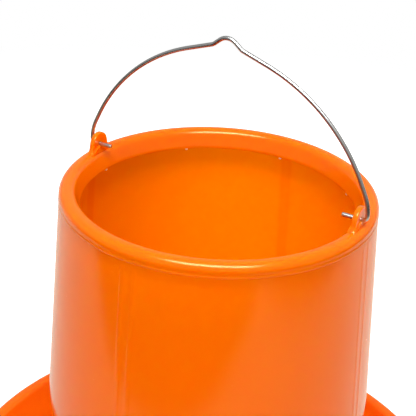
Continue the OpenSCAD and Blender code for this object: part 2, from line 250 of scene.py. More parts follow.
def rounded(points, radii, count=5):
    """The closed outline through points, with each corner cut back and replaced by an arc.

    A corner P with unit directions a and b to its neighbours and inner angle w gives an arc of
    radius r about P + (a + b) / |a + b| * r / sin(w / 2), between its touch points on both sides.
    """
    points = np.asarray(points, float)
    radii = np.broadcast_to(radii, len(points))
    out = []
    for i, corner in enumerate(points):
        a = points[i - 1] - corner
        b = points[(i + 1) % len(points)] - corner
        a, b = a / np.linalg.norm(a), b / np.linalg.norm(b)
        half = math.acos(np.clip(a @ b, -1, 1)) / 2
        middle = corner + (a + b) / np.linalg.norm(a + b) * radii[i] / math.sin(half)
        first = corner + a * radii[i] / math.tan(half) - middle
        last = corner + b * radii[i] / math.tan(half) - middle
        start = math.atan2(first[1], first[0])
        turn = (math.atan2(last[1], last[0]) - start + math.pi) % (2 * math.pi) - math.pi
        angles = np.degrees(start + turn * np.linspace(0, 1, count + 1))
        out.append(middle + radii[i] * np.stack([np.cos(np.radians(angles)),
                                                 np.sin(np.radians(angles))], axis=1))
    return np.concatenate(out)


def trace(start, heading, moves, step):
    """The line of a bent wire. A run is (length,); a bend is (radius, turn), left when positive.

    Each move starts where the last one ended: a run adds length along the heading, and a bend
    keeps the middle of its circle one radius to the side of the heading.
    """
    place, angle = np.asarray(start, float), heading
    out = [place[None, :]]
    for move in moves:
        if len(move) == 1:
            count = max(1, round(move[0] / step))
            along = np.array([math.cos(math.radians(angle)), math.sin(math.radians(angle))])
            out.append(straight(place, place + move[0] * along, count)[1:])
        else:
            radius, turn = move
            side = math.copysign(90, turn)
            middle = place + radius * np.array([math.cos(math.radians(angle + side)),
                                                math.sin(math.radians(angle + side))])
            count = max(6, round(abs(math.radians(turn)) * radius / step))
            out.append(arc(middle, radius, angle - side, angle - side + turn, count)[1:])
            angle += turn
        place = out[-1][-1]
    return np.concatenate(out)


def spread(values, gap):
    """The sorted values without those that lie closer than gap to the one before."""
    values = np.sort(values)
    return values[np.concatenate([[True], np.diff(values) > gap])]


# Surfaces: grids of points, rows by columns


def turned(outline, angles):
    """A surface of revolution: each outline point (r, z) goes to (r cos t, r sin t, z)."""
    t = np.radians(angles)[None, :]
    r, z = outline[:, 0][:, None], outline[:, 1][:, None]
    return np.stack([r * np.cos(t), r * np.sin(t), z + 0 * t], axis=2)


def along_x(points, x=0.0, z=0.0):
    """The grid with its own Z axis laid along X from x, at height z."""
    return np.stack([points[..., 2] + x, points[..., 1], z - points[..., 0]], axis=-1)


def about_z(points, angle):
    """The grid turned about Z."""
    c, s = math.cos(math.radians(angle)), math.sin(math.radians(angle))
    return points @ np.array([[c, s, 0], [-s, c, 0], [0, 0, 1]])


def swept(line, side, radius, columns, end_round):
    """A round wire along a flat line: line + radius * (cos a * across + sin a * side).

    Across is side x heading. Both ends draw in over end_round and close at a pole.
    """
    heading = np.gradient(line, axis=0)
    heading /= np.linalg.norm(heading, axis=1)[:, None]
    across = np.cross(side, heading)
    grow = np.sin(np.radians(np.linspace(0, 90, 5)))
    scale = np.concatenate([[0.0], 1 - end_round / radius * (1 - grow)])
    back = np.concatenate([[0.0], end_round * (1 - np.cos(np.radians(np.linspace(0, 90, 5))))])
    line = np.concatenate([line[0] + back[:, None] * heading[0], line[1:-1],
                           line[-1] - back[::-1, None] * heading[-1]])
    across = np.concatenate([np.repeat(across[:1], 6, 0), across[1:-1],
                             np.repeat(across[-1:], 6, 0)])
    size = np.concatenate([scale, np.ones(len(line) - 12), scale[::-1]]) * radius
    a = np.radians(np.arange(columns) * 360 / columns)
    ring = np.cos(a)[None, :, None] * across[:, None, :] + np.sin(a)[None, :, None] * side
    return line[:, None, :] + size[:, None, None] * ring


def outward(outline):
    """Normals of a closed counter-clockwise outline, long enough at corners to keep an inset even.

    Where edges with unit normals a and b meet, the point's normal is (a + b) / (1 + a . b).
    """
    along = np.roll(outline, -1, axis=0) - outline
    along /= np.linalg.norm(along, axis=1)[:, None]
    after = np.stack([along[:, 1], -along[:, 0]], axis=1)
    before = np.roll(after, 1, axis=0)
    return (before + after) / (1 + (before * after).sum(axis=1))[:, None]


def plate_edge(outline, thick, edge, count=5):
    """Rows from the front face of a plate over its rounded rim to its back face.

    A row at angle a lies edge * (1 - cos a) inside the outline and (thick / 2 - edge) + edge * sin a
    from the middle plane, with a from 90 down to -90 in two quarter rounds. One more row on each
    face, a little further in, keeps the faces flat to the eye.
    """
    normal = outward(outline)
    rounds = [(a, 1) for a in np.linspace(90, 0, count + 1)]
    rounds += [(a, -1) for a in np.linspace(0, 90, count + 1)]
    insets = [edge * (1 - math.cos(math.radians(a))) for a, _ in rounds]
    depths = [face * (np.asarray(thick) / 2 - edge + edge * math.sin(math.radians(a)))
              for a, face in rounds]
    insets = [edge * face_start, *insets, edge * face_start]
    depths = [depths[0], *depths, depths[-1]]
    return np.array([np.column_stack([outline - normal * inset,
                                      np.broadcast_to(depth, len(outline))])
                     for inset, depth in zip(insets, depths)])


def plate(outline, thick, edge, middle=None):
    """A closed plate about its middle plane, with a pole on both faces that sees the whole rim."""
    rows = plate_edge(outline, thick, edge)
    if middle is None:
        middle = outline.mean(axis=0)
    front = np.tile([*middle, np.max(thick) / 2], (len(outline), 1))[None]
    back = front * np.array([1, 1, -1])
    return np.concatenate([front, rows, back])


def pierced_plate(outline, hole, thick, edge, hole_edge):
    """A closed plate with a hole: the rim's rows, then the hole's rows from back to front."""
    rows = plate_edge(outline, thick, edge)
    inner = plate_edge(hole[::-1], np.asarray(thick)[::-1] if np.ndim(thick) else thick,
                       hole_edge)[::-1, ::-1]
    return np.concatenate([rows, inner])


def stood(points, place, across, up):
    """The plate's own x, y and z laid along across, up and across x up, from place."""
    across, up = np.asarray(across, float), np.asarray(up, float)
    return place + points @ np.array([across, up, np.cross(across, up)])


# Pieces: surfaces made into meshes


def quads(rows, columns, closed_rows, closed_columns):
    """Corner numbers of the faces of a grid, which wraps where it is closed."""
    i = np.arange(rows if closed_rows else rows - 1)
    j = np.arange(columns if closed_columns else columns - 1)
    i, j = np.meshgrid(i, j, indexing="ij")
    ii, jj = (i + 1) % rows, (j + 1) % columns
    corners = [i * columns + j, i * columns + jj, ii * columns + jj, ii * columns + j]
    return np.stack(corners, axis=-1).reshape(-1, 4)


def volume_sign(points, faces):
    """The sign of the volume that the faces enclose: the sum of a . (b x c) over triangles."""
    a, b, c, d = (points[faces[:, k]] for k in range(4))
    return np.sign((a * np.cross(b, c)).sum() + (a * np.cross(c, d)).sum())


def solid(name, surfaces):
    """One mesh from closed surfaces, each (grid, closed_rows), with every column loop closed."""
    points, faces, start = [], [], 0
    for grid, closed_rows in surfaces:
        flat = grid.reshape(-1, 3)
        own = quads(grid.shape[0], grid.shape[1], closed_rows, True)
        if volume_sign(flat - flat.mean(axis=0), own) < 0:
            own = own[:, ::-1]
        points.append(flat)
        faces.append(own + start)
        start += len(flat)
    mesh = bpy.data.meshes.new(name)
    mesh.from_pydata(np.concatenate(points).tolist(), [], np.concatenate(faces).tolist())
    mesh.validate()
    work = bmesh.new()
    work.from_mesh(mesh)
    bmesh.ops.remove_doubles(work, verts=work.verts, dist=1e-7)
    work.to_mesh(mesh)
    work.free()
    made = bpy.data.objects.new(name, mesh)
    bpy.context.scene.collection.objects.link(made)
    return made


def combined(made, surfaces, operation):
    """The solid with other closed surfaces united with it or cut from it, as one closed skin."""
    other = solid("other", surfaces)
    step = made.modifiers.new("combined", "BOOLEAN")
    step.operation, step.solver, step.object = operation, "MANIFOLD", other
    bpy.context.view_layer.update()
    evaluated = made.evaluated_get(bpy.context.evaluated_depsgraph_get())
    whole = bpy.data.meshes.new_from_object(evaluated)
    made.modifiers.clear()
    made.data = whole
    bpy.data.objects.remove(other)


def dress(made, finish, body, replaces):
    """The solid smooth but for its creases, in its finish, on its body, in place of a node."""
    made.data.shade_smooth()
    made.data.set_sharp_from_angle(angle=math.radians(crease))
    made.data.materials.clear()
    made.data.materials.append(finish)
    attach(made, body)
    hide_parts(replaces)
    return made


def corners(made):
    """The corner points of a piece's mesh."""
    places = np.zeros(3 * len(made.data.vertices))
    made.data.vertices.foreach_get("co", places)
    return places.reshape(-1, 3)


def mark(made, name, values):
    """A named attribute with three numbers for each corner of the mesh."""
    out = made.data.attributes.new(name, "FLOAT_VECTOR", "POINT")
    out.data.foreach_set("vector", values.ravel())


# The hopper

belly_z = lip_z - belly_drop
lean = math.radians(tube_lean)
belly_touch_z = belly_z + belly_arc_r * math.sin(lean)
belly_touch_r = tube_top_r + math.tan(lean) * (lip_z - belly_touch_z)
belly_mid_r = belly_touch_r - belly_arc_r * math.cos(lean)
turn = math.radians(shoulder_turn)
shoulder_top = (belly_mid_r + belly_arc_r * math.cos(turn), belly_z - belly_arc_r * math.sin(turn))
shoulder_low_r = neck_r + neck_arc_r * (1 - math.cos(turn))
shoulder_low_z = shoulder_top[1] - (shoulder_top[0] - shoulder_low_r) / math.tan(turn)
neck_top_z = shoulder_low_z - neck_arc_r * math.sin(turn)
rib_low_z = neck_top_z - neck_arc_r

rim_out_mid = (tube_top_r - rim_out_round, rim_top_z - rim_out_round)
rim_in_mid = (rim_in_r + rim_in_round, rim_top_z - rim_in_round)
skirt_z = lip_z - skirt_drop
skirt_top = (rim_in_mid[0] - rim_in_round * math.cos(math.radians(skirt_lean)),
             rim_in_mid[1] + rim_in_round * math.sin(math.radians(skirt_lean)))
skirt_low_r = skirt_top[0] - math.tan(math.radians(skirt_lean)) * (skirt_top[1] - skirt_z)
skirt_across = wall / math.cos(math.radians(skirt_lean))


def tube_r(z, offset):
    """Radius of the leaning tube wall at height z, moved out by offset."""
    return tube_top_r + math.tan(lean) * (lip_z - z) + offset / math.cos(lean)


def wall_line(offset, low_z, high_z):
    """The wall from low_z up to high_z: neck, hollow curve, shoulder, belly curve, leaning tube."""
    neck_arc = arc((neck_r + neck_arc_r, neck_top_z), neck_arc_r - offset, 180,
                   180 - shoulder_turn, 10)
    belly = arc((belly_mid_r, belly_z), belly_arc_r + offset, -shoulder_turn, tube_lean, 28)
    fine_z = high_z - 3 * rib_start
    near_top = (tube_r(fine_z, offset), fine_z)
    return bends(straight((neck_r + offset, low_z), neck_arc[0], 12), neck_arc,
                 straight(neck_arc[-1], belly[0], 3), belly,
                 straight(belly[-1], near_top, 34),
                 straight(near_top, (tube_r(high_z, offset), high_z), 9))


def hopper_outline():
    """The moulding's section, counter-clockwise from its foot: outside, rim, skirt, inside."""
    e = edge_round
    bead_low = (tube_r(lip_z - lip_h / 2, 0), lip_z - lip_h / 2)
    bead_r = (lip_stand ** 2 + (lip_h / 2) ** 2) / (2 * lip_stand)
    bead_half = math.degrees(math.asin(lip_h / 2 / bead_r))
    bead = arc((tube_top_r + lip_stand - bead_r, lip_z), bead_r, -bead_half, bead_half, 8)
    lead_in = (rim_out_mid[0] + rim_out_round, rim_out_mid[1])
    inside_top = (rim_out_mid[0] + rim_out_round - wall, rim_out_mid[1])
    return bends(
        wall_line(0, foot_z + e, bead_low[1]), bead, straight(bead[-1], lead_in, 2),
        arc(rim_out_mid, rim_out_round, 0, 90, 14),
        straight((rim_out_mid[0], rim_top_z), (rim_in_mid[0], rim_top_z), 2),
        arc(rim_in_mid, rim_in_round, 90, 180 - skirt_lean, 12),
        straight(skirt_top, (skirt_low_r, skirt_z + e), 5),
        arc((skirt_low_r + e, skirt_z + e), e, 180, 270, 4),
        arc((skirt_low_r + skirt_across - e, skirt_z + e), e, 270, 360, 4),
        arc(rim_in_mid, rim_in_round - wall, 180 - skirt_lean, 90, 8),
        arc(rim_out_mid, rim_out_round - wall, 90, 0, 8),
        straight(inside_top, (tube_r(lip_z - lip_h, -wall), lip_z - lip_h), 3),
        wall_line(-wall, foot_z + e, lip_z - lip_h)[::-1],
        arc((neck_r - wall + e, foot_z + e), e, 180, 270, 4),
        arc((neck_r - e, foot_z + e), e, 270, 360, 4))


def smooth(x):
    """The smooth step 3x^2 - 2x^3 between 0 and 1, held flat outside."""
    x = np.clip(x, 0, 1)
    return x * x * (3 - 2 * x)


def from_nearest(angle, count):
    """The angle, in radians, from the nearest of count places spread evenly round the axis."""
    spacing = 2 * math.pi / count
    return (angle + spacing / 2) % spacing - spacing / 2


def hopper_shell():
    """The turned moulding, with its outside moved out by the ribs.

    The rise is rib_stand * s((ridge_w / 2 - |d - ridge_off|) / rib_edge + 1 / 2) * s(distance to
    the end), where d is the distance round the wall from the nearest rib and s the smooth step.
    The columns are closer at the ridges' flanks.
    """
    edge = math.degrees(rib_edge / tube_top_r)
    flanks = [math.degrees((ridge_off + side * ridge_w / 2) / tube_top_r) for side in (-1, 1)]
    fine = np.concatenate([side * (flank + edge * np.linspace(-0.6, 0.6, 5))
                           for flank in flanks for side in (-1, 1)])
    ribs = (np.arange(rib_count)[:, None] * 360 / rib_count + fine).ravel() % 360
    angles = spread(np.concatenate([np.arange(0, 360, 2.0), ribs]), 0.02)
    outline = hopper_outline()
    grid = turned(outline, angles)
    rows = int(np.argmax(outline[:, 1] >= lip_z - lip_h / 2 - 1e-6))
    r, z = outline[:rows, 0][:, None], outline[:rows, 1][:, None]
    away = np.abs(r * np.abs(from_nearest(np.radians(angles), rib_count)) - ridge_off)
    across = smooth((ridge_w / 2 - away) / rib_edge + 0.5)
    along = smooth((lip_z - rib_start - z) / rib_fade) * smooth((z - rib_low_z) / rib_fade)
    rise = rib_stand * across * along
    grid[:rows, :, 0] += rise * np.cos(np.radians(angles))
    grid[:rows, :, 1] += rise * np.sin(np.radians(angles))
    return grid


def rim_web():
    """A thin upright plate across the rim's hollow, whose lower edge shows as a pip."""
    outline = rounded([(skirt_low_r, skirt_z - web_pip),
                       (tube_top_r - wall / 2, skirt_z - web_pip),
                       (tube_top_r - wall / 2, rim_out_mid[1]),
                       (rim_out_mid[0], rim_top_z - wall + web_root),
                       (rim_in_mid[0], rim_top_z - wall + web_root),
                       (skirt_top[0] + skirt_across - web_root, skirt_top[1]),
                       (skirt_low_r, skirt_z)], web_round, 3)
    return stood(plate(outline, web_t, web_edge), (0, 0, 0), (1, 0, 0), (0, 0, 1))


def ear():
    """An upright ear about its hole: a round head on sides that run to the foot and flare there.

    The half width is the straight side plus ear_flare * exp(-(z - rim) / reach), and the thickness
    swells by the same rule, so that the ear grows out of the rim. No point but the corner itself
    lies near the foot's corner, where the inset would fold it over.
    """
    foot = -(hole_rise + ear_root)
    far = math.hypot(foot, ear_foot_half)
    side = math.degrees(math.acos(ear_r / far)) - math.degrees(math.atan2(-foot, ear_foot_half))
    touch = (ear_r * math.cos(math.radians(side)), ear_r * math.sin(math.radians(side)))
    right = straight((ear_foot_half, foot), touch, 24)
    right[:, 0] += ear_flare * np.exp(-np.clip(right[:, 1] + hole_rise, 0, 1) / ear_flare_reach)
    kept = right[:, 1] > foot + corner_clear * ear_edge
    kept[0] = True
    right = right[kept]
    head = arc((0, 0), ear_r, side, 180 - side, 40)[1:-1]
    left = right[::-1] * (-1, 1)
    base = straight(left[-1], right[0], 12)
    outline = bends(right, head, left, base)[:-1]
    thick = ear_t + ear_swell * np.exp(-np.clip(outline[:, 1] + hole_rise, 0, 1) / ear_swell_reach)
    around = np.arctan2(outline[:, 1], outline[:, 0])
    hole = (wire_d / 2 + ear_hole_clear) * np.stack([np.cos(around), np.sin(around)], axis=1)
    body = pierced_plate(outline, hole, thick, ear_edge, ear_hole_edge)
    return stood(body, (ear_x, 0, hole_z), (0, 1, 0), (0, 0, 1))


def ring(inner_r, outer_r, low, high, rounds):
    """A turned ring between two radii and two heights, its four corners rounded."""
    outline = rounded([(inner_r, low), (outer_r, low), (outer_r, high), (inner_r, high)], rounds)
    return turned(outline, np.arange(0, 360, 7.5))


def boss():
    """The flat boss round a bolt hole, from inside the neck to its seat for the washer."""
    body = ring(bolt_d / 2 + bolt_clear, boss_r, boss_in_x, boss_out_x, boss_rounds)
    return along_x(body, 0, bolt_z)


def bolt_hole():
    """A plain rod through the boss and the neck's wall, to cut the bolt hole with."""
    rod = arc((0, 0), bolt_d / 2 + bolt_clear, 0, 352.5, 47)
    return along_x(plate(rod, 2 * (boss_out_x - boss_in_x), boss_cut_edge), neck_r, bolt_z)


def mark_painted_light(made):
    """Painted light: a highlight on each web's lower end, and shade where a rib thickens the inside.

    The second is s(distance inside the rib's edge) * s(height over the belly) * s(depth under the
    skirt), with s the smooth step, and 0 on the outside of the wall.
    """
    x, y, z = corners(made).T
    r, angle = np.hypot(x, y), np.arctan2(y, x)
    # A painted highlight on each web's lower end
    from_web = np.abs(r * np.sin(from_nearest(angle, web_count)))
    pip = ((r < skirt_low_r + web_pip) & (from_web < web_t / 2 + pip_slack)
           & (z < skirt_z + pip_over) & (z > skirt_z - 1.5 * web_pip))
    # Painted shade on the inside behind each rib, for the light that the thicker wall holds back
    from_rib = np.abs(r * from_nearest(angle, rib_count))
    thick = (smooth((ridge_off + ridge_w / 2 - from_rib) / ridge_w)
             * smooth((z - belly_z) / rib_shade_rise) * smooth((skirt_z - z) / web_pip)
             * (r < tube_r(z, -wall / 2)))
    mark(made, "skin", np.stack([pip.astype(float), thick, 0 * thick], axis=1))


def make_hopper(finish):
    """The hopper in one moulding: shell, ears, webs and bosses with their holes."""
    made = solid("hopper_moulding", [(hopper_shell(), True)])
    combined(made, [(about_z(ear(), angle), True) for angle in ear_angles], "UNION")
    combined(made, [(about_z(rim_web(), 360 / web_count * i), False) for i in range(web_count)]
             + [(about_z(boss(), angle), True) for angle in clamp_angles], "UNION")
    combined(made, [(about_z(bolt_hole(), angle), False) for angle in clamp_angles], "DIFFERENCE")
    dress(made, finish, "hopper", "hopper")
    mark_painted_light(made)


# The bail


def bail_line():
    """The wire's middle line from cut end to cut end, in the plane of the two ears."""
    slope = 90 - leg_lean - leg_turn - crown_turn
    kink_slope = slope + kink_turn
    tail = (bend_x - wire_end_x,)
    leg = [(bend_r, 90 + leg_lean), (leg_arc_r, leg_turn), (leg_run,), (crown_arc_r, crown_turn)]
    leg_end = trace((wire_end_x, 0), 0, [tail, *leg], wire_step)[-1]
    kink_half = (kink_top_r * math.sin(math.radians(kink_slope))
                 + kink_side * math.cos(math.radians(kink_slope))
                 + kink_foot_r * (math.sin(math.radians(kink_slope))
                                  - math.sin(math.radians(slope))))
    arch = ((leg_end[0] - kink_half) / math.cos(math.radians(slope)),)
    rise = [(kink_foot_r, -kink_turn), (kink_side,)]
    moves = [tail, *leg, arch, *rise, (kink_top_r, 2 * kink_slope), *rise[::-1], arch,
             *leg[::-1], tail]
    flat = trace((wire_end_x, hole_z), 0, moves, wire_step)
    return np.stack([flat[:, 0], 0 * flat[:, 0], flat[:, 1]], axis=1)


def make_bail(finish):
    """The bent wire, round in section, with its cut ends just broken.

    Each corner is marked with (cos a, sin a, length): its place round the wire and along it.
    """
    line = bail_line()
    side = np.array([0.0, 1.0, 0.0])
    wire = swept(line, side, wire_d / 2, 24, wire_end_round)
    made = dress(solid("wire_bail", [(wire, False)]), finish, "bail", "bail_handle")
    across = np.cross(side, np.gradient(line, axis=0))
    across /= np.linalg.norm(across, axis=1)[:, None]
    length = np.concatenate([[0], np.cumsum(np.linalg.norm(np.diff(line, axis=0), axis=1))])
    places = corners(made)
    near = np.array([np.argmin(((line - place) ** 2).sum(axis=1)) for place in places])
    off = (places - line[near]) / (wire_d / 2)
    mark(made, "lay", np.stack([(off * across[near]).sum(axis=1), off[:, 1], length[near]], axis=1))


# The pan

cone_mid_z = cone_h - cone_tip_r
cone_reach = math.hypot(cone_base_r, cone_mid_z - pan_t)
cone_slope = math.degrees(math.atan2(cone_mid_z - pan_t, cone_base_r)
                          + math.asin(cone_tip_r / cone_reach))
slope_sin, slope_cos = math.sin(math.radians(cone_slope)), math.cos(math.radians(cone_slope))
cone_under_r = cone_base_r - pan_t * slope_sin + (pan_t - pan_t * slope_cos) * slope_cos / slope_sin
lip_in_mid = (pan_r - pan_lip_w + pan_lip_in_round, pan_h - pan_lip_in_round)
lip_out_mid = (pan_r - pan_lip_out_round, pan_h - pan_lip_out_round)
lean_sin, lean_cos = math.sin(math.radians(pan_lean)), math.cos(math.radians(pan_lean))
wall_high = (lip_in_mid[0] - pan_lip_in_round * lean_cos, lip_in_mid[1] + pan_lip_in_round * lean_sin)
wall_low_z = pan_t + pan_fillet * (1 - lean_sin)
floor_r = wall_high[0] - pan_fillet * lean_cos - (wall_high[1] - wall_low_z) * lean_sin / lean_cos
fillet_mid = (floor_r, pan_t + pan_fillet)


def pan_outline():
    """The pan's section from the cone's tip over the floor, wall and lip, and back underneath."""
    tip = arc((0, cone_mid_z), cone_tip_r, 90, 90 - cone_slope, 10)
    fillet = arc(fillet_mid, pan_fillet, -90, -pan_lean, 12)
    lip_in = arc(lip_in_mid, pan_lip_in_round, 180 - pan_lean, 90, 8)
    lip_out = arc(lip_out_mid, pan_lip_out_round, 90, 0, 10)
    low_z = pan_h - pan_lip_h
    e = pan_t * 0.4
    under_out = arc(lip_out_mid, pan_lip_out_round - pan_t, 0, 90, 8)
    under_in = arc(lip_in_mid, pan_lip_in_round - pan_t, 90, 180 - pan_lean, 6)
    under_fillet = arc(fillet_mid, pan_fillet + pan_t, -pan_lean, -90, 12)
    under_tip = arc((0, cone_mid_z), cone_tip_r - pan_t, 90 - cone_slope, 90, 8)
    foot = (cone_base_r, pan_t)
    return bends(
        tip, straight(tip[-1], foot, 30), straight(foot, fillet[0], 24), fillet,
        straight(fillet[-1], lip_in[0], 16), lip_in, lip_out,
        straight(lip_out[-1], (pan_r, low_z + e), 3),
        arc((pan_r - e, low_z + e), e, 360, 270, 4),
        arc((pan_r - pan_t + e, low_z + e), e, 270, 180, 4),
        straight((pan_r - pan_t, low_z + e), under_out[0], 3), under_out, under_in,
        straight(under_in[-1], under_fillet[0], 16), under_fillet,
        straight(under_fillet[-1], (cone_under_r, 0), 20),
        straight((cone_under_r, 0), under_tip[0], 20), under_tip)


def strap():
    """An upright strap with a round-cornered slot, and the gusset that ties it to the cone.

    The slot is |x / (w / 2)|^n + |z / (h / 2)|^n = 1, with n its squareness. The strap's long
    sides are split so that each point faces its own part of the slot.
    """
    middle_z = (slot_low_z + slot_high_z) / 2
    half, corner = strap_w / 2, strap_w / 4
    low, high = pan_t / 2 - middle_z, strap_top_z - middle_z
    frame_line = rounded([(-half, low), (half, low), (half, high), (-half, high)],
                         (strap_foot_round, strap_foot_round, corner, corner), 8)
    outline = np.concatenate([straight(a, b, 14)[:-1] if np.linalg.norm(b - a) > strap_w / 5
                              else a[None] for a, b in zip(frame_line, np.roll(frame_line, -1, 0))])
    around = np.arctan2(outline[:, 1], outline[:, 0])
    reach = (np.abs(np.cos(around) / (slot_w / 2)) ** slot_squareness
             + np.abs(np.sin(around) / ((slot_high_z - slot_low_z) / 2)) ** slot_squareness)
    hole = reach[:, None] ** (-1 / slot_squareness) * np.stack([np.cos(around), np.sin(around)],
                                                               axis=1)
    body = pierced_plate(outline, hole, strap_t, strap_edge, slot_edge)
    cone_in_r = cone_base_r - gusset_root
    gusset = rounded([(cone_in_r, pan_t / 2), (strap_in_x + gusset_root, pan_t / 2),
                      (strap_in_x + gusset_root, gusset_h),
                      (cone_in_r - gusset_h / 2 * slope_cos / slope_sin, pan_t + gusset_h / 2)],
                     gusset_round, 3)
    return [(stood(body, ((strap_in_x + strap_out_x) / 2, 0, middle_z), (0, 1, 0), (0, 0, 1)), True),
            (stood(plate(gusset, gusset_t, gusset_edge), (0, 0, 0), (1, 0, 0), (0, 0, 1)), False)]


def lip_nub():
    """The small moulding nub on the outside of the rolled lip."""
    high, low = pan_h - pan_lip_out_round, pan_h - pan_lip_h
    outline = rounded([(-nub_w / 2, low), (nub_w / 2, low), (nub_w / 2, high), (-nub_w / 2, high)],
                      nub_round, 5)
    depth = pan_t + nub_stand
    body = plate(outline, depth, nub_edge)
    return about_z(stood(body, (pan_r - pan_t + depth / 2, 0, 0), (0, 1, 0), (0, 0, 1)), nub_angle)


def make_pan(finish):
    """The pan in one moulding: dish, cone, straps with their gussets, and the nub."""
    made = solid("pan_moulding", [(turned(pan_outline(), np.arange(0, 360, 1.5)), False)])
    upright, gusset = strap()
    combined(made, [(about_z(upright[0], angle), upright[1]) for angle in clamp_angles]
             + [(lip_nub(), False)], "UNION")
    combined(made, [(about_z(gusset[0], angle), gusset[1]) for angle in clamp_angles], "UNION")
    dress(made, finish, "pan", "feed_pan")


# The clamp hardware


def threaded(low, high):
    """A rod with a vee thread: r = bolt_d / 2 - depth * |2 (x / pitch - t / 360 mod 1) - 1|.

    The depth fades out at the lower end, and the tip has a chamfer that closes at a pole.
    """
    columns = np.arange(0, 360, 15)
    x = np.arange(low, high, thread_pitch / 8)[:, None]
    wave = np.abs(2 * np.mod(x / thread_pitch - columns / 360, 1) - 1)
    r = bolt_d / 2 - thread_depth * wave * smooth((x - low) / (2 * thread_pitch))
    r = np.minimum(r, bolt_d / 2 - bolt_tip_flat - thread_depth + (high - x))
    t = np.radians(columns)
    body = np.stack([r * np.cos(t), r * np.sin(t), x + 0 * t], axis=2)
    ends = [np.broadcast_to((0.0, 0.0, z), (1, len(columns), 3)) for z in (low, high)]
    return np.concatenate([ends[0], body, ends[1]])


def make_bolt(i, finish):
    """A bolt with a low dome inside the hopper, a square neck and a threaded shank."""
    dome_r = ((head_d / 2) ** 2 + head_h ** 2) / (2 * head_h)
    half = math.degrees(math.asin(head_d / 2 / dome_r))
    dome = arc((0, dome_r - head_h), dome_r, 270, 270 + half * head_dome_part, 14)
    outline = bends(dome, [(head_d / 2 - head_rim * 0.1, -head_rim * 0.1), (head_d / 2 - head_rim, 0)],
                    straight((head_d / 2 - head_rim * 1.4, 0), (0, 0), 3))
    head = along_x(turned(outline, np.arange(0, 360, 7.5)), head_x, bolt_z)
    square = rounded([(-bolt_d / 2, -bolt_d / 2), (bolt_d / 2, -bolt_d / 2),
                      (bolt_d / 2, bolt_d / 2), (-bolt_d / 2, bolt_d / 2)], square_round, 3)
    neck_len = strap_out_x - head_x
    neck = stood(plate(square, neck_len + square_root, square_edge),
                 (head_x + neck_len / 2, 0, bolt_z), (0, 1, 0), (0, 0, 1))
    shank = along_x(threaded(strap_out_x, bolt_end_x), 0, bolt_z)
    surfaces = [(about_z(grid, clamp_angles[i]), False) for grid in (head, neck, shank)]
    dress(solid(f"threaded_bolt_{i + 1}", surfaces), finish, "hopper",
          f"clamp_bolt_{i + 1}")


def make_washer(i, finish):
    """A punched washer: one face rolled over, the other with a crisp edge."""
    grid = along_x(ring(bolt_d / 2 + bolt_clear, washer_d / 2, washer_low.x, washer_high.x,
                        washer_rounds), 0, bolt_z)
    dress(solid(f"punched_washer_{i + 1}", [(about_z(grid, clamp_angles[i]), True)]), finish,
          "hopper", f"washer_{i + 1}")


def make_nut(i, finish):
    """A wing nut: a tapered hub, and two rounded wings that lean out past it."""
    hub_outline = rounded([(nut_bore_r, 0), (nut_foot_d / 2, 0), (nut_foot_d / 2, nut_foot_h),
                           (nut_top_d / 2, nut_hub_h), (nut_bore_r, nut_hub_h)], nut_rounds, 4)
    hub = along_x(turned(hub_outline, np.arange(0, 360, 7.5)), nut_x, bolt_z)
    tip = arc((wing_half - wing_r, nut_hub_h + wing_rise - wing_r), wing_r, wing_from, wing_to, 24)
    in_r, root_r = nut_bore_r + wing_root, nut_top_d / 2 - wing_root
    outline = bends([(in_r, wing_low)], straight((root_r, wing_low), tip[0], 8), tip,
                    straight(tip[-1], (root_r, wing_high), 8), [(in_r, wing_high)])
    wing = plate(outline, wing_t, wing_edge, (wing_half / 2, (wing_low + nut_hub_h) / 2))
    surfaces = [(hub, True)]
    surfaces += [(stood(wing, (nut_x, 0, bolt_z), (0, 0, side), (1, 0, 0)), False)
                 for side in (-1, 1)]
    turned_in = [(about_z(grid, clamp_angles[i]), closed) for grid, closed in surfaces]
    dress(solid(f"cast_wing_nut_{i + 1}", turned_in), finish, f"nut_{i + 1}",
          f"wing_nut_{i + 1}")


# Finishes


class Signal:
    """A number that changes over a surface: a socket whose arithmetic adds Math nodes."""

    def __init__(self, finish, socket):
        self.finish, self.socket = finish, socket

    def math(self, operation, *values):
        """One Math node on the values, each a Signal or a number."""
        return self.finish.node("ShaderNodeMath", {"operation": operation},
                                dict(enumerate(values)))

    def __add__(self, other):
        return self.math("ADD", self, other)

    def __radd__(self, other):
        return self.math("ADD", other, self)

    def __mul__(self, other):
        return self.math("MULTIPLY", self, other)

    def __rmul__(self, other):
        return self.math("MULTIPLY", other, self)

    def ramp(self, low, high):
        """0 below low, 1 above high, and the smooth step between; low may be the higher one."""
        return self.finish.node("ShaderNodeMapRange", {"interpolation_type": "SMOOTHSTEP"},
                                {"Value": self, "From Min": low, "From Max": high})


